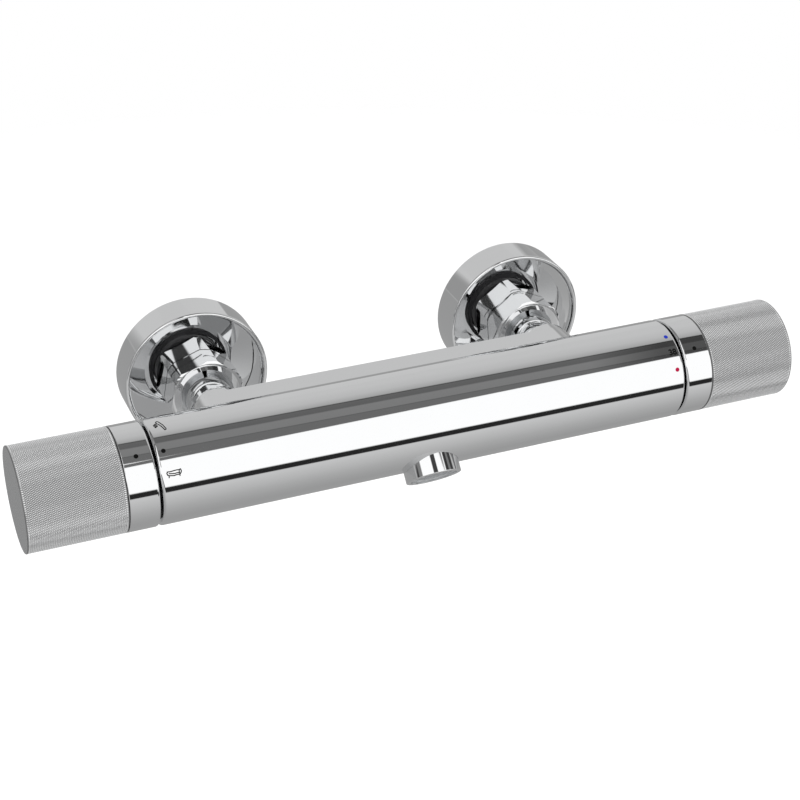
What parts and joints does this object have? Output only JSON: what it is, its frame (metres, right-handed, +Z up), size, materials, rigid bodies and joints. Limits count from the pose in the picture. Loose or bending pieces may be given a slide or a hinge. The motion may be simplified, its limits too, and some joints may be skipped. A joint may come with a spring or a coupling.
{
  "type": "thermostatic shower valve",
  "caption": "Wall-mounted thermostatic bath and shower mixer: a round chromed bar with knurled grips, a rear rail and round wall covers over offset unions.",
  "frame": {"origin": "midway between the axes of the two wall threads, on the wall's surface", "axes": "+X along the bar, to the right seen from the front (temperature grip at +X); +Y into the wall, along the two wall threads; +Z up"},
  "size_m": [0.3328, 0.123, 0.063],
  "materials": {
    "chrome": "bright polished chrome plate on brass",
    "grip_metal": "satin chrome with a fine diamond knurl",
    "brass": "machined brass",
    "rubber": "black rubber",
    "aerator_plastic": "light grey moulded plastic",
    "cartridge_plastic": "black moulded plastic",
    "valve_plastic": "white moulded plastic",
    "steel": "stainless steel",
    "ceramic": "ground ceramic"
  },
  "bodies": {
    "root": {"valve_body": "chrome", "spout_collar": "chrome", "aerator_insert": "aerator_plastic", "aerator_seal": "rubber", "hose_nipple": "chrome", "hose_seal": "rubber", "thermostat_sleeve": "cartridge_plastic", "thermostat_seals": "rubber", "return_spring": "steel", "overload_spring": "steel", "diverter_base_seal": "rubber", "diverter_base_plate": "cartridge_plastic", "diverter_fixed_disc": "ceramic", "diverter_housing": "cartridge_plastic", "diverter_seals": "rubber", "hot_union_nut": "chrome", "hot_nut_ring": "steel", "hot_filter_washer": "rubber", "hot_strainer": "steel", "hot_offset_union": "brass", "hot_wall_cover": "chrome", "hot_cover_seal": "rubber", "hot_check_valve_cage": "valve_plastic", "hot_check_valve_spring": "steel", "cold_union_nut": "chrome", "cold_nut_ring": "steel", "cold_filter_washer": "rubber", "cold_strainer": "steel", "cold_offset_union": "brass", "cold_wall_cover": "chrome", "cold_cover_seal": "rubber", "cold_check_valve_cage": "valve_plastic", "cold_check_valve_spring": "steel", "temperature_cartridge_nut": "brass", "temperature_spindle_seal": "rubber", "temperature_stop_ring": "cartridge_plastic", "flow_cartridge_nut": "brass", "flow_spindle_seal": "rubber", "flow_stop_ring": "cartridge_plastic"},
    "temperature_handle": {"temperature_spindle": "brass", "temperature_carrier": "cartridge_plastic", "temperature_axial_screw": "steel", "temperature_set_screw": "steel", "temperature_ring": "chrome", "temperature_grip": "grip_metal"},
    "thermostat_piston": {"regulating_piston": "cartridge_plastic", "wax_element": "brass"},
    "flow_handle": {"diverter_spindle": "brass", "diverter_moving_disc": "ceramic", "flow_carrier": "cartridge_plastic", "flow_axial_screw": "steel", "flow_set_screw": "steel", "flow_ring": "chrome", "flow_grip": "grip_metal"},
    "hot_check_valve": {"hot_check_valve_poppet": "valve_plastic"},
    "cold_check_valve": {"cold_check_valve_poppet": "valve_plastic"}
  },
  "joints": [
    {"name": "temperature_turn", "type": "hinge", "parent": "root", "child": "temperature_handle", "pos_m": [0, -0.0813, 0.0075], "axis": [1, 0, 0], "range_deg": [-130, 50]},
    {"name": "piston_slide", "type": "slide", "parent": "root", "child": "thermostat_piston", "axis": [1, 0, 0], "range_m": [-0.00145, 0.00056], "deforming": ["return_spring", "overload_spring"]},
    {"name": "flow_turn", "type": "hinge", "parent": "root", "child": "flow_handle", "pos_m": [0, -0.0813, 0.0075], "axis": [1, 0, 0], "range_deg": [-44, 44]},
    {"name": "hot_check_slide", "type": "slide", "parent": "root", "child": "hot_check_valve", "axis": [0, -1, 0], "range_m": [0, 0.0025], "stiffness_N_per_m": 60, "springref_m": -0.003, "deforming": ["hot_check_valve_spring"]},
    {"name": "cold_check_slide", "type": "slide", "parent": "root", "child": "cold_check_valve", "axis": [0, -1, 0], "range_m": [0, 0.0025], "stiffness_N_per_m": 60, "springref_m": -0.003, "deforming": ["cold_check_valve_spring"]}
  ],
  "couplings": [
    {"joint": "piston_slide", "follows": "temperature_turn", "m_per_rad": 0.00063662}
  ]
}
